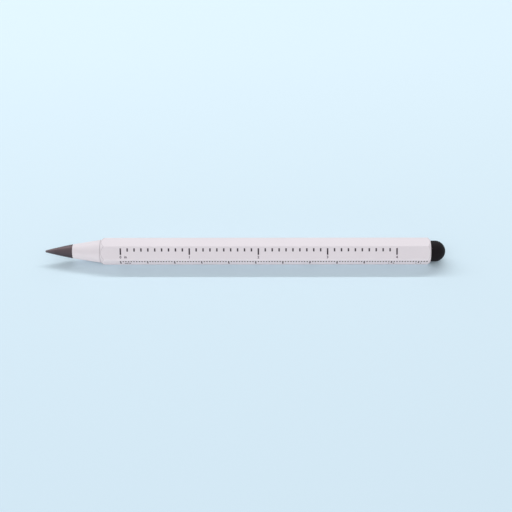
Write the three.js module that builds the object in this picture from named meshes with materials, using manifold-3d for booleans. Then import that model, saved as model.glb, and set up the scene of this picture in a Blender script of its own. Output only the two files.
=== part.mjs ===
import * as THREE from 'three';
import { mergeVertices } from 'three/addons/utils/BufferGeometryUtils.js';
import Module from 'manifold-3d';

// Inkless ruler pen, lying on one flat of its hexagonal barrel.
// Millimetres, +Z up. X runs along the pen, from the nib at -X to the stylus at +X.
// The origin is on the surface that the pen lies on, under the middle of its length.

// Outside lengths along X
const NIB_LENGTH = 10.37;
const NOSE_LENGTH = 10.5;
const BARREL_LENGTH = 121.85;
const DOME_SKIRT = 1.8;

// Barrel: extruded hexagon with a round bore, both ends turned to a cone
const ACROSS_FLATS = 8.9;
const CORNER_RADIUS = 0.6;
const REAR_RIM = 0.84;
const REAR_CONE_ANGLE = 42;
const FRONT_CONE_ANGLE = 31;
const FRONT_CONE_DEPTH = 0.14;

// Nib and nose cone
const NIB_RADIUS = 2.63;
const NIB_TIP_RADIUS = 0.45;
const NIB_BULGE = 0.06;
const NOSE_SETBACK = 0.05;
const NOSE_EDGE = 0.15;
const NOSE_MOUTH_WALL = 0.58;
const NOSE_WEB = 0.5;

// Stylus dome and its plug
const DOME_SETBACK = 0.39;
const DOME_WALL = 0.75;
const DOME_LIP = 0.85;
const DOME_LIP_OVERLAP = 0.55;
const PLUG_HEAD_HEIGHT = 1.3;
const PLUG_DEPTH = 12;
const PLUG_RIBS = 3;
const PLUG_GROOVE_DEPTH = 0.35;
const PLUG_LEAD_IN = 0.6;

// Thread that joins the nose cone to the barrel
const NOSE_PITCH = 0.75;
const NOSE_TURNS = 8;
const NOSE_THREAD_DEPTH = 0.4;
const BUSH_WALL = 0.45;

// Thread that joins the nib to the nose cone
const NIB_PITCH = 0.5;
const NIB_TURNS = 8;
const NIB_THREAD_DEPTH = 0.27;
const SPIGOT_WALL = 0.43;
const SOCKET_WALL = 0.42;
const STUD_SHANK_RADIUS = 1.1;
const STUD_SHANK_LENGTH = 4.5;
const DRILL_POINT = 0.6;

// Rubber rings behind the nose cone and the nib
const NIB_RING_THICKNESS = 0.7;
const RING_GROOVE_DEPTH = 0.03;

// Clearances
const SEAM_GAP = 0.05;
const PRESS_GAP = 0.02;
const SLIDING_GAP = 0.04;
const RING_GAP = 0.07;
const THREAD_GAP = 0.08;
const HOLE_GAP = 0.12;

// Fineness of the turned and screwed surfaces
const TURNED_SEGMENTS = 40;
const CORNER_SEGMENTS = 4;
const THREAD_SEGMENTS = 20;
const RING_SEGMENTS = 8;
const CURVE_STEPS = 6;
const DOME_STEPS = 8;
const CUT_MARGIN = 1;

// Radii worked out from the nib outwards, one wall and clearance after another
const NOSE_MOUTH_RADIUS = NIB_RADIUS - NOSE_MOUTH_WALL;
const STUD_NECK_RADIUS = NOSE_MOUTH_RADIUS - NIB_RING_THICKNESS - 2 * RING_GAP;
const NIB_ROOT_RADIUS = STUD_NECK_RADIUS + RING_GROOVE_DEPTH;
const NIB_THREAD_RADIUS = NIB_ROOT_RADIUS + NIB_THREAD_DEPTH;
const SOCKET_RADIUS = NIB_THREAD_RADIUS + THREAD_GAP + SOCKET_WALL;
const SOCKET_BORE_RADIUS = SOCKET_RADIUS + PRESS_GAP;
const NOSE_ROOT_RADIUS = SOCKET_BORE_RADIUS + SPIGOT_WALL;
const NOSE_NECK_RADIUS = NOSE_ROOT_RADIUS - RING_GROOVE_DEPTH;
const NOSE_THREAD_RADIUS = NOSE_ROOT_RADIUS + NOSE_THREAD_DEPTH;
const BUSH_RADIUS = NOSE_THREAD_RADIUS + THREAD_GAP + BUSH_WALL;
const BORE_RADIUS = BUSH_RADIUS + PRESS_GAP;
const NOSE_RING_THICKNESS = BORE_RADIUS - NOSE_NECK_RADIUS - 2 * RING_GAP;
const STEM_RADIUS = BORE_RADIUS - SLIDING_GAP;
const REAR_FACE_RADIUS = BORE_RADIUS + REAR_RIM;
const DOME_RADIUS = REAR_FACE_RADIUS - DOME_SETBACK;

// Radii that follow from the hexagon
const FLAT = ACROSS_FLATS / 2;
const SHARP_CORNER = FLAT / Math.cos(Math.PI / 6);
const FRONT_FACE_RADIUS = FLAT - FRONT_CONE_DEPTH;
const NOSE_REAR_RADIUS = FRONT_FACE_RADIUS - NOSE_SETBACK;

// Places along X
const OVERALL_LENGTH = NIB_LENGTH + NOSE_LENGTH + BARREL_LENGTH + DOME_SKIRT + DOME_RADIUS;
const TIP_X = -OVERALL_LENGTH / 2;
const NOSE_X = TIP_X + NIB_LENGTH;
const FRONT_X = NOSE_X + NOSE_LENGTH;
const REAR_X = FRONT_X + BARREL_LENGTH;
const NOSE_RING_SEAT = NOSE_RING_THICKNESS + 2 * RING_GAP;
const NIB_RING_SEAT = NIB_RING_THICKNESS + 2 * RING_GAP;
const BUSH_X = FRONT_X + NOSE_RING_SEAT;
const SOCKET_X = NOSE_X + NIB_RING_SEAT + NOSE_WEB;

const wasm = await Module();
wasm.setup();

// A closed geometry as a solid that can be cut and joined
function toSolid(geometry) {
  const bare = geometry.clone();
  bare.deleteAttribute('normal');
  bare.deleteAttribute('uv');
  const merged = mergeVertices(bare, 1e-4);
  return new wasm.Manifold(new wasm.Mesh({
    numProp: 3,
    vertProperties: new Float32Array(merged.attributes.position.array),
    triVerts: new Uint32Array(merged.index.array),
  }));
}

// A cut or joined solid as a geometry again
function toGeometry(solid) {
  const mesh = solid.getMesh();
  const geometry = new THREE.BufferGeometry();
  geometry.setAttribute('position', new THREE.BufferAttribute(new Float32Array(mesh.vertProperties), 3));
  geometry.setIndex(new THREE.BufferAttribute(new Uint32Array(mesh.triVerts), 1));
  geometry.computeVertexNormals();
  return geometry;
}

// A piece turned on the pen's axis. Its outline is a list of [x, radius], from the -X end to the +X end
// along the outside, and back along the inside if it is hollow.
function turned(outline) {
  const points = outline.map(([x, radius]) => new THREE.Vector2(radius, x));
  return new THREE.LatheGeometry(points, TURNED_SEGMENTS).rotateZ(-Math.PI / 2);
}

// The same, as a solid that can be cut and joined
function turnedSolid(outline) {
  return toSolid(turned(outline));
}

// Points of a round ring's section, from [x, radius] at its centre
function ringOutline(centreX, centreRadius, sectionRadius) {
  const outline = [];
  for (let step = 0; step <= RING_SEGMENTS; step++) {
    const angle = -2 * Math.PI * step / RING_SEGMENTS;
    outline.push([
      centreX + sectionRadius * Math.cos(angle),
      centreRadius + sectionRadius * Math.sin(angle),
    ]);
  }
  return outline;
}

// A right-hand screw: a root cylinder from startX to endX with a V-shaped ridge wound round it.
// The ridge rises and fades over half a turn at each end. firstX is where its first root line starts.
function screw({ startX, endX, firstX, turns, pitch, rootRadius, depth }) {
  const perTurn = THREAD_SEGMENTS;
  const last = turns * perTurn;
  const positions = [];
  const faces = [];

  function addPoint(x, radius, station) {
    const angle = 2 * Math.PI * station / perTurn;
    positions.push(x, radius * Math.cos(angle), radius * Math.sin(angle));
    return positions.length / 3 - 1;
  }
  function addFan(hub, rim) {
    for (let i = 0; i < rim.length - 1; i++) {
      faces.push(hub, rim[i], rim[i + 1]);
    }
  }
  function addQuad(a, b, c, d) {
    faces.push(a, b, c, a, c, d);
  }

  const startRing = [];
  const root = [];
  const crest = [];
  const endRing = [];
  for (let i = 0; i < perTurn; i++) {
    startRing.push(addPoint(startX, rootRadius, i));
    endRing.push(addPoint(endX, rootRadius, last + i));
  }
  for (let station = 0; station <= last + perTurn; station++) {
    root.push(addPoint(firstX + pitch * station / perTurn, rootRadius, station));
  }
  for (let station = 0; station <= last; station++) {
    const x = firstX + pitch * (station / perTurn + 0.5);
    const rise = Math.min(1, 2 * station / perTurn, 2 * (last - station) / perTurn);
    crest.push(addPoint(x, rootRadius + rise * depth, station));
  }

  // Both flanks of the ridge
  for (let station = 0; station < last; station++) {
    const nextTurn = station + perTurn;
    addQuad(root[station], root[station + 1], crest[station + 1], crest[station]);
    addQuad(crest[station], crest[station + 1], root[nextTurn + 1], root[nextTurn]);
  }

  // Plain root from the start to the first turn, closed by a disc
  for (let i = 0; i < perTurn - 1; i++) {
    addQuad(startRing[i], startRing[i + 1], root[i + 1], root[i]);
  }
  addFan(root[perTurn - 1], [startRing[perTurn - 1], startRing[0], root[0], crest[0], root[perTurn]]);
  addFan(addPoint(startX, 0, 0), [...startRing, startRing[0]].reverse());

  // Plain root from the last turn to the end, closed by a disc
  for (let i = 1; i < perTurn; i++) {
    const next = (i + 1) % perTurn;
    addQuad(root[last + i], root[last + i + 1], endRing[next], endRing[i]);
  }
  addFan(root[last + 1], [endRing[1], endRing[0], root[last + perTurn], crest[last], root[last]]);
  addFan(addPoint(endX, 0, 0), [...endRing, endRing[0]]);

  const geometry = new THREE.BufferGeometry();
  geometry.setAttribute('position', new THREE.Float32BufferAttribute(positions, 3));
  geometry.setIndex(faces);
  return geometry;
}

// The matching tap: the same screw, larger by the thread's gap and longer by whole turns at both ends
function tapFor(thread) {
  const extraTurns = 2;
  const extraLength = extraTurns * thread.pitch;
  return toSolid(screw({
    ...thread,
    startX: thread.startX - extraLength - CUT_MARGIN,
    endX: thread.endX + extraLength + CUT_MARGIN,
    firstX: thread.firstX - extraLength,
    turns: thread.turns + 2 * extraTurns,
    rootRadius: thread.rootRadius + THREAD_GAP,
  }));
}

// Where a thread of some turns and pitch lies in a threaded hole that starts at holeX
function placeThread(holeX, turns, pitch) {
  const firstX = holeX + 2 * SEAM_GAP;
  return {
    startX: holeX + SEAM_GAP,
    firstX,
    endX: firstX + (turns + 1) * pitch + SEAM_GAP,
    turns,
    pitch,
  };
}

const noseThread = {
  ...placeThread(BUSH_X, NOSE_TURNS, NOSE_PITCH),
  rootRadius: NOSE_ROOT_RADIUS,
  depth: NOSE_THREAD_DEPTH,
};

const nibThread = {
  ...placeThread(SOCKET_X, NIB_TURNS, NIB_PITCH),
  rootRadius: NIB_ROOT_RADIUS,
  depth: NIB_THREAD_DEPTH,
};

// Hexagonal prism with rounded corners, lying on a flat, from startX to endX
function hexagonPrism(startX, endX) {
  const arcCentre = SHARP_CORNER - CORNER_RADIUS / Math.cos(Math.PI / 6);
  const shape = new THREE.Shape();
  for (let corner = 0; corner < 6; corner++) {
    const angle = corner * Math.PI / 3;
    for (let step = 0; step <= CORNER_SEGMENTS; step++) {
      const turn = angle + (step / CORNER_SEGMENTS - 0.5) * Math.PI / 3;
      const y = arcCentre * Math.cos(angle) + CORNER_RADIUS * Math.cos(turn);
      const z = arcCentre * Math.sin(angle) + CORNER_RADIUS * Math.sin(turn);
      if (corner === 0 && step === 0) {
        shape.moveTo(y, z);
      } else {
        shape.lineTo(y, z);
      }
    }
  }
  const geometry = new THREE.ExtrudeGeometry(shape, { depth: endX - startX, bevelEnabled: false });
  const alongX = new THREE.Matrix4().makeBasis(
    new THREE.Vector3(0, 1, 0),
    new THREE.Vector3(0, 0, 1),
    new THREE.Vector3(1, 0, 0),
  );
  return geometry.applyMatrix4(alongX).translate(startX, 0, 0);
}

function barrelGeometry() {
  const frontSlope = Math.tan(THREE.MathUtils.degToRad(FRONT_CONE_ANGLE));
  const rearSlope = Math.tan(THREE.MathUtils.degToRad(REAR_CONE_ANGLE));
  const outerRadius = SHARP_CORNER + CUT_MARGIN;
  const envelope = turnedSolid([
    [FRONT_X, 0],
    [FRONT_X, FRONT_FACE_RADIUS],
    [FRONT_X + (outerRadius - FRONT_FACE_RADIUS) / frontSlope, outerRadius],
    [REAR_X - (outerRadius - REAR_FACE_RADIUS) / rearSlope, outerRadius],
    [REAR_X, REAR_FACE_RADIUS],
    [REAR_X, 0],
  ]);
  const bore = turnedSolid([
    [FRONT_X - CUT_MARGIN, 0],
    [FRONT_X - CUT_MARGIN, BORE_RADIUS],
    [REAR_X + CUT_MARGIN, BORE_RADIUS],
    [REAR_X + CUT_MARGIN, 0],
  ]);
  const hexagon = toSolid(hexagonPrism(FRONT_X - CUT_MARGIN, REAR_X + CUT_MARGIN));
  return toGeometry(hexagon.intersect(envelope).subtract(bore));
}

// Threaded bush pressed into the front of the barrel's bore
function barrelBushGeometry() {
  const endX = BUSH_X + (NOSE_TURNS + 1) * NOSE_PITCH;
  const blank = turnedSolid([
    [BUSH_X, 0],
    [BUSH_X, BUSH_RADIUS],
    [endX, BUSH_RADIUS],
    [endX, 0],
  ]);
  return toGeometry(blank.subtract(tapFor(noseThread)));
}

// Nose cone, its neck for the rubber ring, and its threaded spigot, turned in one piece
function noseConeGeometry() {
  const rearX = FRONT_X - SEAM_GAP;
  const body = turnedSolid([
    [NOSE_X, 0],
    [NOSE_X, NIB_RADIUS - NOSE_EDGE],
    [NOSE_X + NOSE_EDGE, NIB_RADIUS],
    [rearX - NOSE_EDGE, NOSE_REAR_RADIUS],
    [rearX, NOSE_REAR_RADIUS - NOSE_EDGE],
    [rearX, NOSE_NECK_RADIUS],
    [noseThread.firstX + NOSE_PITCH / 2, NOSE_NECK_RADIUS],
    [noseThread.firstX + NOSE_PITCH / 2, 0],
  ]);
  const bore = turnedSolid([
    [NOSE_X - CUT_MARGIN, 0],
    [NOSE_X - CUT_MARGIN, NOSE_MOUTH_RADIUS],
    [NOSE_X + NIB_RING_SEAT, NOSE_MOUTH_RADIUS],
    [NOSE_X + NIB_RING_SEAT, NIB_THREAD_RADIUS + HOLE_GAP],
    [SOCKET_X, NIB_THREAD_RADIUS + HOLE_GAP],
    [SOCKET_X, SOCKET_BORE_RADIUS],
    [noseThread.endX + CUT_MARGIN, SOCKET_BORE_RADIUS],
    [noseThread.endX + CUT_MARGIN, 0],
  ]);
  return toGeometry(body.add(toSolid(screw(noseThread))).subtract(bore));
}

// Brass socket pressed into the nose cone, threaded for the nib's stud
function nibSocketGeometry() {
  const endX = SOCKET_X + (NIB_TURNS + 1) * NIB_PITCH;
  const blank = turnedSolid([
    [SOCKET_X, 0],
    [SOCKET_X, SOCKET_RADIUS],
    [endX, SOCKET_RADIUS],
    [endX, 0],
  ]);
  return toGeometry(blank.subtract(tapFor(nibThread)));
}

// Rubber ring on a neck, in a seat that starts at seatX
function rubberRingGeometry(seatX, neckRadius, thickness) {
  const sectionRadius = thickness / 2;
  const fromNeck = RING_GAP + sectionRadius;
  return turned(ringOutline(seatX + fromNeck, neckRadius + fromNeck, sectionRadius));
}

// Solid writing cone with a drilled hole for its stud
function nibGeometry() {
  const baseX = NOSE_X - SEAM_GAP;
  const holeRadius = STUD_SHANK_RADIUS + PRESS_GAP;
  const holeEndX = NOSE_X - STUD_SHANK_LENGTH - PRESS_GAP;
  const tipCentreX = TIP_X + NIB_TIP_RADIUS;
  const coneAngle = Math.atan((NIB_RADIUS - NIB_TIP_RADIUS + 4 * NIB_BULGE) / NIB_LENGTH);
  const outline = [];
  for (let step = 0; step <= CURVE_STEPS; step++) {
    const angle = (step / CURVE_STEPS) * (Math.PI / 2 - coneAngle);
    outline.push([
      tipCentreX - NIB_TIP_RADIUS * Math.cos(angle),
      NIB_TIP_RADIUS * Math.sin(angle),
    ]);
  }
  const [coneX, coneRadius] = outline[outline.length - 1];
  for (let step = 1; step <= CURVE_STEPS; step++) {
    const share = step / CURVE_STEPS;
    outline.push([
      coneX + (baseX - coneX) * share,
      coneRadius + (NIB_RADIUS - coneRadius) * share + 4 * NIB_BULGE * share * (1 - share),
    ]);
  }
  outline.push([baseX, holeRadius]);
  outline.push([holeEndX, holeRadius]);
  outline.push([holeEndX - DRILL_POINT, 0]);
  return turned(outline);
}

// Steel stud: a plain shank in the nib, a neck for the rubber ring and a thread
function nibStudGeometry() {
  const shankX = NOSE_X - STUD_SHANK_LENGTH;
  const body = turnedSolid([
    [shankX, 0],
    [shankX, STUD_SHANK_RADIUS],
    [NOSE_X - SEAM_GAP, STUD_SHANK_RADIUS],
    [NOSE_X - SEAM_GAP, STUD_NECK_RADIUS],
    [nibThread.firstX + NIB_PITCH / 2, STUD_NECK_RADIUS],
    [nibThread.firstX + NIB_PITCH / 2, 0],
  ]);
  return toGeometry(body.add(toSolid(screw(nibThread))));
}

// Hollow rubber dome. Its lip reaches in behind the plug's head.
function stylusDomeGeometry() {
  const baseX = REAR_X + SEAM_GAP;
  const centreX = REAR_X + DOME_SKIRT;
  const innerRadius = DOME_RADIUS - DOME_WALL;
  const lipRadius = innerRadius - DOME_LIP_OVERLAP;
  const outline = [];
  for (let step = 0; step <= DOME_STEPS; step++) {
    const angle = (step / DOME_STEPS) * Math.PI / 2;
    outline.push([centreX + innerRadius * Math.cos(angle), innerRadius * Math.sin(angle)]);
  }
  outline.push([baseX + DOME_LIP, innerRadius]);
  outline.push([baseX + DOME_LIP, lipRadius]);
  outline.push([baseX, lipRadius]);
  outline.push([baseX, DOME_RADIUS]);
  for (let step = DOME_STEPS; step >= 0; step--) {
    const angle = (step / DOME_STEPS) * Math.PI / 2;
    outline.push([centreX + DOME_RADIUS * Math.cos(angle), DOME_RADIUS * Math.sin(angle)]);
  }
  return turned(outline);
}

// Plug that carries the dome: a grooved stem in the bore, a neck in the dome's lip and a rounded head
function stylusPlugGeometry() {
  const startX = REAR_X - PLUG_DEPTH;
  const stemEndX = REAR_X - SEAM_GAP;
  const grooveRadius = STEM_RADIUS - PLUG_GROOVE_DEPTH;
  const headRadius = DOME_RADIUS - DOME_WALL - HOLE_GAP;
  const neckRadius = DOME_RADIUS - DOME_WALL - DOME_LIP_OVERLAP - RING_GAP;
  const headX = REAR_X + SEAM_GAP + DOME_LIP + RING_GAP;
  const outline = [[startX, 0], [startX, STEM_RADIUS - PLUG_LEAD_IN], [startX + PLUG_LEAD_IN, STEM_RADIUS]];
  const spacing = (stemEndX - startX - PLUG_LEAD_IN) / (2 * PLUG_RIBS + 1);
  for (let rib = 0; rib < PLUG_RIBS; rib++) {
    const grooveX = startX + PLUG_LEAD_IN + (2 * rib + 1) * spacing;
    outline.push([grooveX, STEM_RADIUS], [grooveX, grooveRadius]);
    outline.push([grooveX + spacing, grooveRadius], [grooveX + spacing, STEM_RADIUS]);
  }
  outline.push([stemEndX, STEM_RADIUS], [stemEndX, neckRadius], [headX, neckRadius]);
  for (let step = 0; step <= CURVE_STEPS; step++) {
    const angle = (step / CURVE_STEPS) * Math.PI / 2;
    outline.push([headX + PLUG_HEAD_HEIGHT * Math.sin(angle), headRadius * Math.cos(angle)]);
  }
  return turned(outline);
}

const finishes = {
  lacquer: { color: 0xe4dfe5, roughness: 0.5, metalness: 0.2 },
  graphite: { color: 0x5a5058, roughness: 0.55, metalness: 0.4 },
  blackRubber: { color: 0x262124, roughness: 0.6, metalness: 0 },
  brass: { color: 0xb8954c, roughness: 0.35, metalness: 1 },
  steel: { color: 0x9a9a9c, roughness: 0.3, metalness: 1 },
  aluminium: { color: 0xb4b5b8, roughness: 0.35, metalness: 1 },
};

const pen = new THREE.Group();
pen.position.z = FLAT;

function addPiece(name, geometry, finish) {
  const piece = new THREE.Mesh(geometry, new THREE.MeshStandardMaterial(finishes[finish]));
  piece.name = name;
  pen.add(piece);
}

addPiece('barrel', barrelGeometry(), 'lacquer');
addPiece('barrel_bush', barrelBushGeometry(), 'brass');
addPiece('nose_cone', noseConeGeometry(), 'lacquer');
addPiece('nose_ring', rubberRingGeometry(FRONT_X, NOSE_NECK_RADIUS, NOSE_RING_THICKNESS), 'blackRubber');
addPiece('nib_socket', nibSocketGeometry(), 'brass');
addPiece('nib', nibGeometry(), 'graphite');
addPiece('nib_stud', nibStudGeometry(), 'steel');
addPiece('nib_ring', rubberRingGeometry(NOSE_X, STUD_NECK_RADIUS, NIB_RING_THICKNESS), 'blackRubber');
addPiece('stylus_plug', stylusPlugGeometry(), 'aluminium');
addPiece('stylus_dome', stylusDomeGeometry(), 'blackRubber');

export default pen;
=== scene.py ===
import math

import bmesh
import bpy
from mathutils import Matrix, Vector


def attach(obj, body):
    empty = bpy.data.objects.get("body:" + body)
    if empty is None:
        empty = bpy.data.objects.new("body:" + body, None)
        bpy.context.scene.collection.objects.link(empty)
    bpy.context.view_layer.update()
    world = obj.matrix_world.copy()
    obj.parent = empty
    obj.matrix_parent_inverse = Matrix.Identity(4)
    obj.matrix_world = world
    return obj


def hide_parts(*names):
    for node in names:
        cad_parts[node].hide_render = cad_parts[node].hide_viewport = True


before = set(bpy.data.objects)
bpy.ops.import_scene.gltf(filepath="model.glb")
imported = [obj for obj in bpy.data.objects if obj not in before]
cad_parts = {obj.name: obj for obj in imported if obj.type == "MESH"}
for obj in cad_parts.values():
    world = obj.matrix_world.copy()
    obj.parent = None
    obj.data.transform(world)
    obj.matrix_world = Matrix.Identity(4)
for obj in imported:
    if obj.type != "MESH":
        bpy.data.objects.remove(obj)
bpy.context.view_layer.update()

# Sizes in millimetres, as in the part's own source. MM turns them into Blender's metres.
MM = 0.001
NIB_LENGTH = 10.37
NOSE_LENGTH = 10.5
BARREL_LENGTH = 121.85
DOME_SKIRT = 1.8
ACROSS_FLATS = 8.9
CORNER_RADIUS = 0.6
REAR_RIM = 0.84
REAR_CONE_ANGLE = 42
FRONT_CONE_ANGLE = 31
FRONT_CONE_DEPTH = 0.14
NIB_RADIUS = 2.63
NIB_TIP_RADIUS = 0.45
NIB_BULGE = 0.06
NOSE_SETBACK = 0.05
NOSE_MOUTH_WALL = 0.58
NOSE_WEB = 0.5
DOME_SETBACK = 0.39
DOME_WALL = 0.75
DOME_LIP = 0.85
DOME_LIP_OVERLAP = 0.55
PLUG_HEAD_HEIGHT = 1.3
PLUG_DEPTH = 12
PLUG_RIBS = 3
PLUG_GROOVE_DEPTH = 0.35
PLUG_LEAD_IN = 0.6
NOSE_PITCH = 0.75
NOSE_TURNS = 8
NOSE_THREAD_DEPTH = 0.4
BUSH_WALL = 0.45
NIB_PITCH = 0.5
NIB_TURNS = 8
NIB_THREAD_DEPTH = 0.27
SPIGOT_WALL = 0.43
SOCKET_WALL = 0.42
STUD_SHANK_RADIUS = 1.1
STUD_SHANK_LENGTH = 4.5
DRILL_POINT = 0.6
NIB_RING_THICKNESS = 0.7
RING_GROOVE_DEPTH = 0.03
SEAM_GAP = 0.05
PRESS_GAP = 0.02
SLIDING_GAP = 0.04
RING_GAP = 0.07
THREAD_GAP = 0.08
HOLE_GAP = 0.12

# Radii from the nib outwards
NOSE_MOUTH_RADIUS = NIB_RADIUS - NOSE_MOUTH_WALL
STUD_NECK_RADIUS = NOSE_MOUTH_RADIUS - NIB_RING_THICKNESS - 2 * RING_GAP
NIB_ROOT_RADIUS = STUD_NECK_RADIUS + RING_GROOVE_DEPTH
NIB_THREAD_RADIUS = NIB_ROOT_RADIUS + NIB_THREAD_DEPTH
SOCKET_RADIUS = NIB_THREAD_RADIUS + THREAD_GAP + SOCKET_WALL
SOCKET_BORE_RADIUS = SOCKET_RADIUS + PRESS_GAP
NOSE_ROOT_RADIUS = SOCKET_BORE_RADIUS + SPIGOT_WALL
NOSE_NECK_RADIUS = NOSE_ROOT_RADIUS - RING_GROOVE_DEPTH
NOSE_THREAD_RADIUS = NOSE_ROOT_RADIUS + NOSE_THREAD_DEPTH
BORE_RADIUS = NOSE_THREAD_RADIUS + THREAD_GAP + BUSH_WALL + PRESS_GAP
NOSE_RING_THICKNESS = BORE_RADIUS - NOSE_NECK_RADIUS - 2 * RING_GAP
STEM_RADIUS = BORE_RADIUS - SLIDING_GAP
REAR_FACE_RADIUS = BORE_RADIUS + REAR_RIM
DOME_RADIUS = REAR_FACE_RADIUS - DOME_SETBACK

# The hexagon and the cones of its turned ends
FLAT = ACROSS_FLATS / 2
SHARP_CORNER = FLAT / math.cos(math.pi / 6)
FRONT_SLOPE = math.tan(math.radians(FRONT_CONE_ANGLE))
REAR_SLOPE = math.tan(math.radians(REAR_CONE_ANGLE))
FRONT_FACE_RADIUS = FLAT - FRONT_CONE_DEPTH
NOSE_REAR_RADIUS = FRONT_FACE_RADIUS - NOSE_SETBACK

# Places along X
OVERALL_LENGTH = NIB_LENGTH + NOSE_LENGTH + BARREL_LENGTH + DOME_SKIRT + DOME_RADIUS
TIP_X = -OVERALL_LENGTH / 2
NOSE_X = TIP_X + NIB_LENGTH
FRONT_X = NOSE_X + NOSE_LENGTH
REAR_X = FRONT_X + BARREL_LENGTH
NIB_RING_SEAT = NIB_RING_THICKNESS + 2 * RING_GAP
BUSH_X = FRONT_X + NOSE_RING_THICKNESS + 2 * RING_GAP
SOCKET_X = NOSE_X + NIB_RING_SEAT + NOSE_WEB

# Small edges that a cutter or a mould leaves. Each takes EDGE_SHARE at most of the lines beside it.
FINE_EDGE = 0.06
TURNED_EDGE = 0.12
MOULDED_EDGE = 0.22
EDGE_SHARE = 0.45
EDGE_STEPS = (0, 0.25, 0.5, 0.75, 1)
RING_FLASH = 0.02

# The part of each pitch that a thread's crest takes up, as shares of it
THREAD_CREST = (0.46, 0.54)

# Fineness of the surfaces
AROUND = 96
CORNER_STEPS = 8
FACET_STEPS = 12
BARREL_STEPS = 12
NIB_STEPS = 24
RING_STEPS = 28
SHARP_ANGLE = math.radians(35)
ON_AXIS = 1e-6
WELD_METRES = 1e-7

# Where the finishes change: radii, depths below the turned cones and lengths from the seam
RUBBED_RADII = (4.9, 5.05)
WORN_TIP_RADII = (0.5, 1.3)
CUT_LINE_STARTS = (0.01, 0.03)
CUT_LINE_ENDS = (0.1, 0.13)
# The seam's band is painted shade: darker lacquer either side of the seam, by distance from it
SEAM_SHADE_ENDS = (0.1, 0.22)

# Printed scales on the two facets that face -Y
INCH_ZERO_X = FRONT_X + 7.69
CENTIMETRE_ZERO_X = FRONT_X + 7.49
INCH = 25.4
CENTIMETRE = 10
INCH_TICKS = 40
CENTIMETRE_TICKS = 113
NUMERAL_HEIGHT = 1.0
UNIT_INDENT = 1.4
INK_THICKNESS = 0.012
INK_SUNK = 0.01
LETTER_BOLDNESS = 0.025

# The camera. Angles are in degrees, its distance is in metres, and its focal length and rise are in the
# picture's own pixels.
PICTURE_PIXELS = 512
FOCAL_PIXELS = 1140
CAMERA_RISE_PIXELS = 4.85
CAMERA_ELEVATION = 40
CAMERA_YAW = 1.4
CAMERA_ROLL = 0.047
CAMERA_DISTANCE = 0.423
CAMERA_AIM_X = 4.22
SENSOR_WIDTH = 36
CLIP_METRES = (0.01, 20)

# The floor and the backdrop as they are seen, with the distances over which their colours change
FLOOR_NEAR = (0.633, 0.788, 0.886, 1)
FLOOR_FAR = (0.705, 0.858, 0.942, 1)
FLOOR_FADE = 150
FLOOR_HALF_METRES = 3.0
BACKDROP = (0.86, 0.94, 1.0, 1)
BACKDROP_FADE = (300, 900)
SEEING_RAYS = ("Is Camera Ray", "Is Glossy Ray", "Is Transmission Ray")

# The floor and the room as they light the pen
PAPER = (0.95, 0.95, 0.95, 1)
# The floor's own glow, which lights the pen from below though the floor is no lamp
PAPER_GLOW = (0.75, 1.0, 1.05, 1)
PAPER_GLOW_STRENGTH = 0.12
STUDIO_LIGHT = (1.0, 0.99, 1.0, 1)
STUDIO_STRENGTH = 0.585


class Wire:
    """One output of a node. Sums written with it add Math nodes."""

    def __init__(self, nodes, socket):
        self.nodes = nodes
        self.socket = socket

    def __add__(self, other):
        return self.nodes.maths("ADD", self, other)

    def __sub__(self, other):
        return self.nodes.maths("SUBTRACT", self, other)

    def __rsub__(self, other):
        return self.nodes.maths("SUBTRACT", other, self)

    def __mul__(self, other):
        return self.nodes.maths("MULTIPLY", self, other)

    def __pow__(self, other):
        return self.nodes.maths("POWER", self, other)

    __radd__ = __add__
    __rmul__ = __mul__

    def between(self, low, high):
        """0 below low, 1 above high, and an even rise from one to the other."""
        inputs = {"Value": self, "From Min": low, "From Max": high}
        return self.nodes.add("MapRange", inputs=inputs)


class Nodes:
    """The nodes of a material or of the world."""

    def __init__(self, tree):
        self.tree = tree

    def add(self, kind, settings=(), inputs=(), output=0):
        """A node of that kind, with its settings and then its sockets' values or links."""
        node = self.tree.nodes.new("ShaderNode" + kind)
        for key, value in dict(settings).items():
            setattr(node, key, value)
        for key, value in dict(inputs).items():
            self.feed(node.inputs[key], value)
        return Wire(self, node.outputs[output])

    def feed(self, socket, value):
        if isinstance(value, Wire):
            self.tree.links.new(value.socket, socket)
        else:
            socket.default_value = value

    def maths(self, operation, *values):
        """A Math node on wires or numbers."""
        return self.add("Math", {"operation": operation}, dict(enumerate(values)))

    def seen(self):
        """1 for rays that show a thing, to the eye or in gloss or glass, and 0 for lighting rays."""
        camera, gloss, glass = [self.add("LightPath", output=name) for name in SEEING_RAYS]
        return self.maths("MAXIMUM", camera, self.maths("MAXIMUM", gloss, glass))


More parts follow.
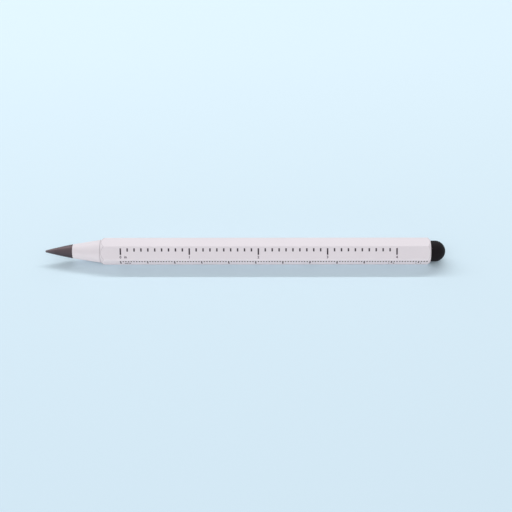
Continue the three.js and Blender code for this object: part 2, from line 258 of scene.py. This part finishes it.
class Finish(Nodes):
    """A node material for one of the pen's surfaces, in millimetres of the piece's own place."""

    def __init__(self, name, sockets):
        self.material = bpy.data.materials.new(name)
        self.material.use_nodes = True
        super().__init__(self.material.node_tree)
        self.surface = self.tree.nodes["Principled BSDF"]
        for socket, value in sockets.items():
            self.surface.inputs[socket].default_value = value
        metres = self.add("TexCoord", output="Object")
        scale = {0: metres, "Scale": 1 / MM}
        self.place = self.add("VectorMath", {"operation": "SCALE"}, scale)
        axes = [self.add("SeparateXYZ", inputs={0: self.place}, output=axis) for axis in "XYZ"]
        self.x, self.y, above_floor = axes
        height = above_floor - FLAT
        self.radius = (self.y * self.y + height * height) ** 0.5

    def noise(self, per_mm, detail=2.0):
        inputs = {"Vector": self.place, "Scale": per_mm, "Detail": detail}
        return self.add("TexNoise", inputs=inputs)

    def lathe_marks(self, per_mm, detail=3.0):
        """Noise that changes along the pen and stays the same round it."""
        inputs = {"W": self.x, "Scale": per_mm, "Detail": detail}
        return self.add("TexNoise", {"noise_dimensions": "1D"}, inputs)

    def mix(self, share, first, second):
        """Two colours, mixed by share."""
        inputs = {0: share, 6: first, 7: second}
        return self.add("Mix", {"data_type": "RGBA"}, inputs, output=2)

    def paint(self, colour, roughness, height_mm):
        """Sets the colour, the roughness and the relief, and returns the material."""
        self.feed(self.surface.inputs["Base Color"], colour)
        self.feed(self.surface.inputs["Roughness"], roughness)
        inputs = {"Strength": 1.0, "Distance": MM, "Height": height_mm}
        bump = self.add("Bump", inputs=inputs)
        self.feed(self.surface.inputs["Normal"], bump)
        return self.material


def rgb(red, green, blue):
    """A colour given as it looks on a screen, 0 to 255, in Blender's own linear values."""
    def linear(level):
        share = level / 255
        return share / 12.92 if share <= 0.04045 else ((share + 0.055) / 1.055) ** 2.4
    return (linear(red), linear(green), linear(blue), 1.0)


def lacquer():
    """Matt lacquer on aluminium: fine grain, a faint orange peel, corners rubbed a little, painted
    shade along the seam, and darker lines where the turned ends cut the facets."""
    finish = Finish("lacquer", {"Metallic": 0.0})
    grain = finish.noise(per_mm=9.0, detail=3.0)
    peel = finish.noise(per_mm=1.6)
    cloud = finish.noise(per_mm=0.09)
    flake = finish.add("TexVoronoi", inputs={"Vector": finish.place, "Scale": 14.0})
    corner = finish.radius.between(*RUBBED_RADII)
    front_cone = FRONT_FACE_RADIUS + (finish.x - FRONT_X) * FRONT_SLOPE
    rear_cone = REAR_FACE_RADIUS + (REAR_X - finish.x) * REAR_SLOPE
    below_cones = finish.maths("MINIMUM", front_cone, rear_cone) - finish.radius
    cut = below_cones.between(*CUT_LINE_STARTS) - below_cones.between(*CUT_LINE_ENDS)
    # Painted shade: the lacquer is darker in a band either side of the seam between the nose and the
    # barrel
    from_seam = finish.maths("ABSOLUTE", finish.x - FRONT_X)
    seam = 1 - from_seam.between(*SEAM_SHADE_ENDS)
    tone = grain * 0.45 + cloud * 0.35 + flake * 0.2
    body = finish.mix(tone, rgb(213, 206, 212), rgb(233, 227, 232))
    rubbed = finish.mix(corner * 0.15, body, rgb(232, 228, 232))
    colour = finish.mix(cut * 0.55 + seam * 0.2, rubbed, rgb(150, 141, 147))
    roughness = 0.4 + grain * 0.14 + cloud * 0.06 - corner * 0.08
    return finish.paint(colour, roughness, grain * 0.0016 + peel * 0.0035)


def graphite_alloy():
    """Dark writing alloy, turned, and polished by paper towards the tip."""
    finish = Finish("graphite_alloy", {"Metallic": 1.0})
    marks = finish.lathe_marks(per_mm=9.0)
    fine_marks = finish.lathe_marks(per_mm=40.0, detail=1.0)
    grain = finish.noise(per_mm=11.0, detail=3.0)
    worn = 1 - finish.radius.between(*WORN_TIP_RADII)
    tone = marks * 0.45 + grain * 0.55
    body = finish.mix(tone, rgb(87, 73, 75), rgb(111, 96, 98))
    colour = finish.mix(worn * 0.5, body, rgb(124, 112, 113))
    roughness = 0.44 + grain * 0.14 - worn * 0.12
    relief = marks * 0.0025 + fine_marks * 0.001 + grain * 0.002
    return finish.paint(colour, roughness, relief)


def black_rubber():
    """Matt conductive rubber with the fine texture of its mould."""
    finish = Finish("black_rubber", {"Metallic": 0.0, "Specular IOR Level": 0.13})
    texture = finish.noise(per_mm=12.0, detail=3.0)
    peel = finish.noise(per_mm=2.2)
    cloud = finish.noise(per_mm=0.5)
    tone = texture * 0.5 + cloud * 0.5
    colour = finish.mix(tone, rgb(14, 10, 12), rgb(28, 22, 25))
    roughness = 0.58 + texture * 0.16
    return finish.paint(colour, roughness, texture * 0.003 + peel * 0.006)


def machined(name, dark, light, smoothest):
    """Turned metal, with the cutter's marks running round it."""
    finish = Finish(name, {"Metallic": 1.0})
    marks = finish.lathe_marks(per_mm=14.0)
    stain = finish.noise(per_mm=0.9, detail=3.0)
    colour = finish.mix(marks * 0.4 + stain * 0.6, dark, light)
    roughness = smoothest + stain * 0.12 + marks * 0.08
    return finish.paint(colour, roughness, marks * 0.005)


def printing_ink():
    """Dark ink, a little thinner in places."""
    finish = Finish("printing_ink", {"Metallic": 0.0})
    speck = finish.noise(per_mm=16.0, detail=3.0)
    cloud = finish.noise(per_mm=1.2)
    colour = finish.mix(speck * 0.5 + cloud * 0.5, rgb(30, 14, 28), rgb(54, 34, 50))
    roughness = 0.5 + speck * 0.15
    return finish.paint(colour, roughness, speck * 0.002)


LACQUER = lacquer()
GRAPHITE = graphite_alloy()
RUBBER = black_rubber()
BRASS = machined("brass", rgb(176, 140, 74), rgb(214, 182, 112), smoothest=0.28)
STEEL = machined("steel", rgb(142, 142, 145), rgb(188, 188, 190), smoothest=0.26)
ALUMINIUM = machined("bare_aluminium", rgb(178, 179, 182), rgb(214, 215, 217), smoothest=0.3)
INK = printing_ink()


def softened(outline, closed=False):
    """An outline of [x, radius, edge] with a small curve of that edge length at each corner."""
    points = []
    count = len(outline)
    for i, (x, radius, *edge) in enumerate(outline):
        is_end = not closed and i in (0, count - 1)
        if not edge or is_end:
            points.append((x, radius))
            continue
        corner = Vector((x, radius))
        before = Vector(outline[i - 1][:2]) - corner
        after = Vector(outline[(i + 1) % count][:2]) - corner
        reach = min(edge[0], EDGE_SHARE * before.length, EDGE_SHARE * after.length)
        start = corner + before.normalized() * reach
        end = corner + after.normalized() * reach
        for t in EDGE_STEPS:
            point = start * (1 - t) ** 2 + corner * 2 * t * (1 - t) + end * t * t
            points.append((point.x, point.y))
    return points


class Piece:
    """Points and faces that become one piece of the pen."""

    def __init__(self):
        self.points = []
        self.faces = []

    def made(self, name, material, body, slot):
        """The piece in the row frame, with smooth faces and crisp edges, riding on a body."""
        mesh = bpy.data.meshes.new(name)
        mesh.from_pydata(self.points, [], self.faces)
        mesh.validate()
        shaped = bmesh.new()
        shaped.from_mesh(mesh)
        bmesh.ops.remove_doubles(shaped, verts=shaped.verts, dist=WELD_METRES)
        bmesh.ops.recalc_face_normals(shaped, faces=shaped.faces)
        shaped.to_mesh(mesh)
        shaped.free()
        mesh.shade_smooth()
        mesh.set_sharp_from_angle(angle=SHARP_ANGLE)
        mesh.materials.append(material)
        piece = bpy.data.objects.new(name, mesh)
        bpy.context.scene.collection.objects.link(piece)
        even = piece.modifiers.new("even_shading", "WEIGHTED_NORMAL")
        even.keep_sharp = True
        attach(piece, body)
        return piece


class Turning(Piece):
    """A piece made of loops of points round the pen's axis, each joined to the next. Its outline runs
    from the -X end along the outside, and back along the inside if it is hollow."""

    def __init__(self, around=AROUND):
        super().__init__()
        self.around = around

    def point(self, x, radius, angle):
        """Adds a point and returns its number."""
        y = radius * math.cos(angle)
        z = FLAT + radius * math.sin(angle)
        self.points.append((x * MM, y * MM, z * MM))
        return len(self.points) - 1

    def ring(self, x, radius):
        """Points round the pen at x, or the same point all round where that is on the axis."""
        if radius < ON_AXIS:
            return [self.point(x, 0, 0)] * self.around
        step = 2 * math.pi / self.around
        return [self.point(x, radius, i * step) for i in range(self.around)]

    def face(self, *corners):
        """Adds a face, without the corners that meet on the pen's axis."""
        distinct = [c for i, c in enumerate(corners) if c != corners[i - 1]]
        if len(distinct) > 2:
            self.faces.append(distinct)

    def band(self, first, second):
        """Joins two rings with faces."""
        count = len(first)
        for i in range(count):
            j = (i + 1) % count
            self.face(first[i], first[j], second[j], second[i])

    def run(self, outline, start=None):
        """Joins rings along the outline, from the ring start if it is given, and returns the last."""
        last = start
        for x, radius in outline:
            ring = self.ring(x, radius)
            if last:
                self.band(last, ring)
            last = ring
        return last

    def thread(self, start, end_x, first_x, turns, pitch, root, depth):
        """A right-hand ridge from the ring start to a ring at end_x, as in the part's own source. It
        rises over its first half turn and falls over its last."""
        around = self.around
        last = turns * around
        step = 2 * math.pi / around
        lines = [[] for _ in THREAD_CREST]
        end = [self.point(end_x, root, (last + i) * step) for i in range(around)]
        roots = []
        for i in range(last + around + 1):
            roots.append(self.point(first_x + pitch * i / around, root, i * step))
        for i in range(last + 1):
            rise = min(1, 2 * i / around, 2 * (last - i) / around)
            for line, share in zip(lines, THREAD_CREST):
                x = first_x + pitch * (i / around + share)
                line.append(self.point(x, root + rise * depth, i * step))
        strips = [roots] + lines + [roots[around:]]
        for low, high in zip(strips, strips[1:]):
            for i in range(last):
                self.face(low[i], low[i + 1], high[i + 1], high[i])
        for i in range(around - 1):
            self.face(start[i], start[i + 1], roots[i + 1], roots[i])
        first_side = (roots[0], *[line[0] for line in lines], roots[around])
        self.face(start[-1], start[0], *first_side, roots[around - 1])
        for i in range(1, around):
            j = (i + 1) % around
            self.face(roots[last + i], roots[last + i + 1], end[j], end[i])
        last_side = (roots[last + around], *[line[last] for line in reversed(lines)], roots[last])
        self.face(end[1], end[0], *last_side, roots[last + 1])
        return end


def arc(centre_x, radius, start, end, steps, along=None):
    """Points of an arc about a point on the axis, by its angle from +X in degrees. Where along is
    given, the arc is an ellipse's, and reaches that far along the axis."""
    along = radius if along is None else along
    points = []
    for step in range(steps + 1):
        angle = math.radians(start + (end - start) * step / steps)
        points.append((centre_x + along * math.cos(angle), radius * math.sin(angle)))
    return points


def place_thread(hole_x, turns, pitch):
    """Where a spigot's neck ends, its ridge starts and it ends itself, by the start of its hole."""
    first_x = hole_x + 2 * SEAM_GAP
    return hole_x + SEAM_GAP, first_x, first_x + (turns + 1) * pitch + SEAM_GAP


def barrel():
    """Hexagonal tube. Both ends are turned to a cone, which leaves an arc on each facet."""
    arc_centre = SHARP_CORNER - CORNER_RADIUS / math.cos(math.pi / 6)
    corners = []
    for corner in range(6):
        towards = corner * math.pi / 3
        for step in range(CORNER_STEPS + 1):
            turn = towards + (step / CORNER_STEPS - 0.5) * math.pi / 3
            y = arc_centre * math.cos(towards) + CORNER_RADIUS * math.cos(turn)
            z = arc_centre * math.sin(towards) + CORNER_RADIUS * math.sin(turn)
            corners.append(Vector((y, z)))
    section = []
    for i, here in enumerate(corners):
        section.append(here)
        if i % (CORNER_STEPS + 1) == CORNER_STEPS:
            after = corners[(i + 1) % len(corners)]
            for step in range(1, FACET_STEPS):
                section.append(here.lerp(after, step / FACET_STEPS))
    profiles = []
    for side in section:
        radius = side.length
        front_end = FRONT_X + (radius - FRONT_FACE_RADIUS) / FRONT_SLOPE
        rear_end = REAR_X - (radius - REAR_FACE_RADIUS) / REAR_SLOPE
        outline = [
            (FRONT_X, BORE_RADIUS, TURNED_EDGE),
            (FRONT_X, FRONT_FACE_RADIUS, FINE_EDGE),
            (front_end, radius, FINE_EDGE),
        ]
        for step in range(1, BARREL_STEPS):
            outline.append((front_end + (rear_end - front_end) * step / BARREL_STEPS, radius))
        outline += [
            (rear_end, radius, FINE_EDGE),
            (REAR_X, REAR_FACE_RADIUS, FINE_EDGE),
            (REAR_X, BORE_RADIUS, TURNED_EDGE),
        ]
        profiles.append(softened(outline, closed=True))
    tube = Turning(len(section))
    loops = []
    for station in range(len(profiles[0])):
        loop = []
        for side, profile in zip(section, profiles):
            x, radius = profile[station]
            loop.append(tube.point(x, radius, math.atan2(side.y, side.x)))
        loops.append(loop)
    for first, second in zip(loops, loops[1:] + loops[:1]):
        tube.band(first, second)
    piece = tube.made("ruler_barrel", LACQUER, "barrel", "lacquered_aluminium")
    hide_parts("barrel")


def nose_cone():
    """Tapered front section with its neck and threaded spigot."""
    start_x, first_x, end_x = place_thread(BUSH_X, NOSE_TURNS, NOSE_PITCH)
    rear_x = FRONT_X - SEAM_GAP
    guide_radius = NIB_THREAD_RADIUS + HOLE_GAP
    cone = Turning()
    outside = softened([
        (NOSE_X, NOSE_MOUTH_RADIUS),
        (NOSE_X, NIB_RADIUS, TURNED_EDGE),
        (rear_x, NOSE_REAR_RADIUS, TURNED_EDGE),
        (rear_x, NOSE_NECK_RADIUS, FINE_EDGE),
        (start_x, NOSE_NECK_RADIUS),
        (start_x, NOSE_ROOT_RADIUS),
    ])
    last = cone.run(outside)
    ridge = (NOSE_TURNS, NOSE_PITCH, NOSE_ROOT_RADIUS, NOSE_THREAD_DEPTH)
    last = cone.thread(last, end_x, first_x, *ridge)
    inside = softened([
        (end_x, NOSE_ROOT_RADIUS),
        (end_x, SOCKET_BORE_RADIUS, FINE_EDGE),
        (SOCKET_X, SOCKET_BORE_RADIUS),
        (SOCKET_X, guide_radius, FINE_EDGE),
        (NOSE_X + NIB_RING_SEAT, guide_radius, FINE_EDGE),
        (NOSE_X + NIB_RING_SEAT, NOSE_MOUTH_RADIUS),
        (NOSE_X, NOSE_MOUTH_RADIUS),
    ])
    cone.run(inside[1:], last)
    piece = cone.made("turned_nose_cone", LACQUER, "nose", "lacquered_aluminium")
    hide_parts("nose_cone")


def nib():
    """Writing cone with a small bulge, a blunt tip and a drilled hole for its stud."""
    base_x = NOSE_X - SEAM_GAP
    hole_radius = STUD_SHANK_RADIUS + PRESS_GAP
    hole_end_x = NOSE_X - STUD_SHANK_LENGTH - PRESS_GAP
    slope_at_tip = (NIB_RADIUS - NIB_TIP_RADIUS + 4 * NIB_BULGE) / NIB_LENGTH
    cone_angle = math.degrees(math.atan(slope_at_tip))
    outline = arc(TIP_X + NIB_TIP_RADIUS, NIB_TIP_RADIUS, 180, 90 + cone_angle, steps=12)
    cone_x, cone_radius = outline[-1]
    for step in range(1, NIB_STEPS):
        share = step / NIB_STEPS
        bulge = 4 * NIB_BULGE * share * (1 - share)
        x = cone_x + (base_x - cone_x) * share
        outline.append((x, cone_radius + (NIB_RADIUS - cone_radius) * share + bulge))
    outline += [
        (base_x, NIB_RADIUS, TURNED_EDGE),
        (base_x, hole_radius, FINE_EDGE),
        (hole_end_x, hole_radius),
        (hole_end_x - DRILL_POINT, 0),
    ]
    cone = Turning()
    cone.run(softened(outline))
    piece = cone.made("writing_nib", GRAPHITE, "nib", "graphite_alloy")
    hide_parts("nib")


def nib_stud():
    """Threaded stud with a plain shank in the nib and a neck for its rubber ring."""
    start_x, first_x, end_x = place_thread(SOCKET_X, NIB_TURNS, NIB_PITCH)
    stud = Turning()
    last = stud.run(softened([
        (NOSE_X - STUD_SHANK_LENGTH, 0),
        (NOSE_X - STUD_SHANK_LENGTH, STUD_SHANK_RADIUS, TURNED_EDGE),
        (NOSE_X - SEAM_GAP, STUD_SHANK_RADIUS),
        (NOSE_X - SEAM_GAP, STUD_NECK_RADIUS),
        (start_x, STUD_NECK_RADIUS),
        (start_x, NIB_ROOT_RADIUS),
    ]))
    ridge = (NIB_TURNS, NIB_PITCH, NIB_ROOT_RADIUS, NIB_THREAD_DEPTH)
    last = stud.thread(last, end_x, first_x, *ridge)
    stud.run([(end_x, 0)], last)
    piece = stud.made("threaded_stud", STEEL, "nib", "steel")
    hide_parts("nib_stud")


def rubber_ring(name, node, body, seat_x, neck_radius, thickness):
    """Moulded ring with the thin flash line that its mould leaves on both sides."""
    section = thickness / 2
    centre = RING_GAP + section
    outline = []
    for step in range(RING_STEPS):
        angle = -2 * math.pi * step / RING_STEPS
        reach = section + (RING_FLASH if step in (0, RING_STEPS // 2) else 0)
        x = seat_x + centre + reach * math.cos(angle)
        outline.append((x, neck_radius + centre + reach * math.sin(angle)))
    ring = Turning()
    first = ring.ring(*outline[0])
    last = ring.run(outline[1:], first)
    ring.band(last, first)
    piece = ring.made(name, RUBBER, body, "black_rubber")
    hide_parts(node)


def stylus_dome():
    """Hollow rubber dome. Its lip reaches in behind the plug's head."""
    base_x = REAR_X + SEAM_GAP
    centre_x = REAR_X + DOME_SKIRT
    inner_radius = DOME_RADIUS - DOME_WALL
    lip_radius = inner_radius - DOME_LIP_OVERLAP
    dome = Turning()
    outline = arc(centre_x, inner_radius, 0, 90, steps=24)
    outline += [
        (base_x + DOME_LIP, inner_radius),
        (base_x + DOME_LIP, lip_radius, FINE_EDGE),
        (base_x, lip_radius, FINE_EDGE),
        (base_x, DOME_RADIUS, MOULDED_EDGE),
    ]
    outline += arc(centre_x, DOME_RADIUS, 90, 0, steps=32)
    dome.run(softened(outline))
    piece = dome.made("stylus_dome_rubber", RUBBER, "stylus", "black_rubber")
    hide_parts("stylus_dome")


def stylus_plug():
    """Grooved stem in the bore, a neck in the dome's lip and a rounded head."""
    start_x = REAR_X - PLUG_DEPTH
    stem_end_x = REAR_X - SEAM_GAP
    groove_radius = STEM_RADIUS - PLUG_GROOVE_DEPTH
    head_radius = DOME_RADIUS - DOME_WALL - HOLE_GAP
    neck_radius = DOME_RADIUS - DOME_WALL - DOME_LIP_OVERLAP - RING_GAP
    head_x = REAR_X + SEAM_GAP + DOME_LIP + RING_GAP
    outline = [
        (start_x, 0),
        (start_x, STEM_RADIUS - PLUG_LEAD_IN, FINE_EDGE),
        (start_x + PLUG_LEAD_IN, STEM_RADIUS, TURNED_EDGE),
    ]
    spacing = (stem_end_x - start_x - PLUG_LEAD_IN) / (2 * PLUG_RIBS + 1)
    for rib in range(PLUG_RIBS):
        groove_x = start_x + PLUG_LEAD_IN + (2 * rib + 1) * spacing
        outline += [
            (groove_x, STEM_RADIUS, FINE_EDGE),
            (groove_x, groove_radius, TURNED_EDGE),
            (groove_x + spacing, groove_radius, TURNED_EDGE),
            (groove_x + spacing, STEM_RADIUS, FINE_EDGE),
        ]
    outline += [
        (stem_end_x, STEM_RADIUS, FINE_EDGE),
        (stem_end_x, neck_radius, FINE_EDGE),
        (head_x, neck_radius),
    ]
    outline += arc(head_x, head_radius, 90, 0, steps=12, along=PLUG_HEAD_HEIGHT)
    plug = Turning()
    plug.run(softened(outline))
    piece = plug.made("stylus_stem", ALUMINIUM, "stylus", "bare_aluminium")
    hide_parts("stylus_plug")


class Facet(Piece):
    """Ink on one facet. Places on it are x along the pen and down from the facet's upper edge."""

    TICK_FACES = (
        (0, 1, 2, 3), (4, 7, 6, 5), (0, 4, 5, 1),
        (1, 5, 6, 2), (2, 6, 7, 3), (3, 7, 4, 0),
    )

    def __init__(self, upper_angle):
        super().__init__()
        self.corner = self.corner_at(upper_angle)
        lower = self.corner_at(upper_angle + 60)
        self.down = (lower - self.corner).normalized()
        middle = (self.corner + lower) / 2
        self.outward = Vector((0, middle.y, middle.z - FLAT)).normalized()

    def corner_at(self, degrees):
        """The sharp corner at that angle about the pen's axis, from +Y towards +Z."""
        angle = math.radians(degrees)
        return Vector((0, SHARP_CORNER * math.cos(angle), FLAT + SHARP_CORNER * math.sin(angle)))

    def point(self, x, down, out):
        """Adds a point at that place on the facet, and that far out of it."""
        at = self.corner + self.down * down + self.outward * out
        self.points.append(((x + at.x) * MM, at.y * MM, at.z * MM))

    def tick(self, x, start, length, width):
        """A bar of ink across the facet, centred on x."""
        first = len(self.points)
        end = start + length
        for out in (-INK_SUNK, INK_THICKNESS):
            for along, down in ((-1, start), (1, start), (1, end), (-1, end)):
                self.point(x + along * width / 2, down, out)
        self.faces += [[first + corner for corner in face] for face in self.TICK_FACES]

    def letters(self, text, x, top, height, centred=True):
        """Printed characters, that tall, with their upper edge at top."""
        curve = bpy.data.curves.new("letters", "FONT")
        curve.body = text
        curve.extrude = 1.0
        curve.offset = LETTER_BOLDNESS
        curve.resolution_u = 4
        shown = bpy.data.objects.new("letters", curve)
        bpy.context.scene.collection.objects.link(shown)
        mesh = bpy.data.meshes.new_from_object(shown)
        xs = [v.co.x for v in mesh.vertices]
        ys = [v.co.y for v in mesh.vertices]
        scale = height / (max(ys) - min(ys))
        start = (min(xs) + max(xs)) / 2 if centred else min(xs)
        first = len(self.points)
        for v in mesh.vertices:
            out = INK_THICKNESS if v.co.z > 0 else -INK_SUNK
            self.point(x + (v.co.x - start) * scale, top + (max(ys) - v.co.y) * scale, out)
        self.faces += [[first + corner for corner in face.vertices] for face in mesh.polygons]
        bpy.data.objects.remove(shown)
        bpy.data.curves.remove(curve)
        bpy.data.meshes.remove(mesh)

    def numeral(self, number, x, top, height, spacing):
        """A number centred on x, with its digits that far apart."""
        digits = str(number)
        for i, digit in enumerate(digits):
            self.letters(digit, x + (i - (len(digits) - 1) / 2) * spacing, top, height)

    def ticks(self, zero_x, unit, count, top, short, long, width, numeral_top, spacing):
        """Marks a tenth of the unit apart. Every tenth one is long, with its number under it."""
        for mark in range(count + 1):
            x = zero_x + mark * unit / 10
            whole, rest = divmod(mark, 10)
            self.tick(x, top, short if rest else long, width)
            if not rest:
                self.numeral(whole, x, numeral_top, NUMERAL_HEIGHT, spacing)

    def printed(self, name):
        self.made(name, INK, "barrel", "lacquered_aluminium")


def inch_scale():
    """0 to 4 inches in tenths, on the upper facet that faces -Y."""
    facet = Facet(upper_angle=120)
    facet.ticks(
        INCH_ZERO_X, INCH, INCH_TICKS,
        top=0.7, short=1.2, long=2.45, width=0.54, numeral_top=3.5, spacing=0.8,
    )
    facet.letters("in", INCH_ZERO_X + UNIT_INDENT, top=3.5, height=0.95, centred=False)
    facet.printed("inch_scale")


def centimetre_scale():
    """0 to 11.3 centimetres in millimetres, on the lower facet that faces -Y."""
    facet = Facet(upper_angle=180)
    facet.ticks(
        CENTIMETRE_ZERO_X, CENTIMETRE, CENTIMETRE_TICKS,
        top=1.0, short=1.05, long=2.0, width=0.47, numeral_top=2.85, spacing=1.7,
    )
    facet.letters("cm", CENTIMETRE_ZERO_X + UNIT_INDENT, top=2.85, height=1.0, centred=False)
    facet.printed("centimetre_scale")


barrel()
nose_cone()
nib()
nib_stud()
rubber_ring("nose_seal", "nose_ring", "nose_ring", FRONT_X, NOSE_NECK_RADIUS, NOSE_RING_THICKNESS)
rubber_ring("nib_seal", "nib_ring", "nib_ring", NOSE_X, STUD_NECK_RADIUS, NIB_RING_THICKNESS)
stylus_dome()
stylus_plug()
inch_scale()
centimetre_scale()

# The threaded brass parts stay as the CAD has them
for node in ("barrel_bush", "nib_socket"):
    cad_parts[node].data.materials.clear()
    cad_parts[node].data.materials.append(BRASS)


def floor_material():
    """Pale floor that keeps the pen's shadow and runs into the backdrop. The camera sees it pale blue,
    and it lights the pen as white paper would, plus a painted glow of its own that adds light under the
    pen."""
    finish = Finish("pale_floor", {})
    colour = finish.mix(finish.y.between(-FLOOR_FADE, FLOOR_FADE), FLOOR_NEAR, FLOOR_FAR)
    near = finish.add("BsdfDiffuse", inputs={"Color": colour})
    backdrop = finish.add("Emission", inputs={"Color": BACKDROP})
    distance = (finish.x * finish.x + finish.y * finish.y) ** 0.5
    fade = distance.between(*BACKDROP_FADE)
    shown = finish.add("MixShader", inputs={0: fade, 1: near, 2: backdrop})
    paper = finish.add("BsdfDiffuse", inputs={"Color": PAPER})
    # Painted glow: the floor emits light for lighting rays only, adding light to the pen from below
    # that white paper wouldn't give
    glow = finish.add("Emission", inputs={"Color": PAPER_GLOW, "Strength": PAPER_GLOW_STRENGTH})
    lit = finish.add("AddShader", inputs={0: paper, 1: glow})
    both = finish.add("MixShader", inputs={0: finish.seen(), 1: lit, 2: shown})
    finish.feed(finish.tree.nodes["Material Output"].inputs["Surface"], both)
    return finish.material


def floor():
    """A wide floor at the height that the pen lies on."""
    half = FLOOR_HALF_METRES
    corners = [(-half, -half, 0), (half, -half, 0), (half, half, 0), (-half, half, 0)]
    mesh = bpy.data.meshes.new("floor")
    mesh.from_pydata(corners, [], [(0, 1, 2, 3)])
    mesh.materials.append(floor_material())
    piece = bpy.data.objects.new("floor", mesh)
    bpy.context.scene.collection.objects.link(piece)


def camera():
    """At the photograph's angle: above the pen and square to it but for a degree or so, with the pen
    level but for the roll."""
    elevation = math.radians(CAMERA_ELEVATION)
    yaw = math.radians(CAMERA_YAW)
    aim = Vector((CAMERA_AIM_X * MM, 0.0, FLAT * MM))
    back = Vector((
        math.sin(yaw) * math.cos(elevation),
        -math.cos(yaw) * math.cos(elevation),
        math.sin(elevation),
    ))
    pen_slope = math.atan(math.sin(elevation) * math.tan(yaw))
    level = Matrix.Rotation(-pen_slope - math.radians(CAMERA_ROLL), 4, "Z")
    data = bpy.data.cameras.new("camera")
    data.sensor_width = SENSOR_WIDTH
    data.lens = SENSOR_WIDTH * FOCAL_PIXELS / PICTURE_PIXELS
    data.clip_start, data.clip_end = CLIP_METRES
    data.shift_y = -CAMERA_RISE_PIXELS / PICTURE_PIXELS
    eye = bpy.data.objects.new("camera", data)
    turn = (-back).to_track_quat("-Z", "Y").to_matrix().to_4x4()
    eye.matrix_world = Matrix.Translation(aim + back * CAMERA_DISTANCE) @ turn @ level
    bpy.context.scene.collection.objects.link(eye)
    bpy.context.scene.camera = eye


def softbox(name, size, at, watts, mirrored=True):
    """A soft white lamp, with its size and place in metres, turned squarely across the pen. Where it
    isn't mirrored, gloss and metal don't show it."""
    data = bpy.data.lights.new(name, "AREA")
    data.shape = "RECTANGLE"
    data.size, data.size_y = size
    data.energy = watts
    lamp = bpy.data.objects.new(name, data)
    lamp.location = at
    lamp.rotation_euler = (-Vector((0, at[1], at[2]))).to_track_quat("-Z", "Y").to_euler()
    lamp.visible_glossy = mirrored
    bpy.context.scene.collection.objects.link(lamp)


def lights():
    """A long strip behind the pen, two fills in front of it and an even room."""
    softbox("strip", size=(2.2, 0.03), at=(-0.42, 0.60, 0.775), watts=7.1)
    softbox("fill", size=(0.9, 0.3), at=(0.0, -0.62, 0.62), watts=1.4, mirrored=False)
    softbox("low_fill", size=(1.2, 0.3), at=(0.0, -0.9, 0.12), watts=1.0, mirrored=False)
    world = bpy.data.worlds.new("studio")
    world.use_nodes = True
    studio = Nodes(world.node_tree)
    lit = studio.add("Background", inputs={"Color": STUDIO_LIGHT, "Strength": STUDIO_STRENGTH})
    shown = studio.add("Background", inputs={"Color": BACKDROP, "Strength": 1.0})
    both = studio.add("MixShader", inputs={0: studio.seen(), 1: lit, 2: shown})
    studio.feed(studio.tree.nodes["World Output"].inputs["Surface"], both)
    bpy.context.scene.world = world


floor()
camera()
lights()
bpy.context.scene.view_settings.view_transform = "Standard"
# The centimetre marks are a pixel wide, and run together if the denoiser smooths its own guides
bpy.context.scene.cycles.denoising_prefilter = "NONE"
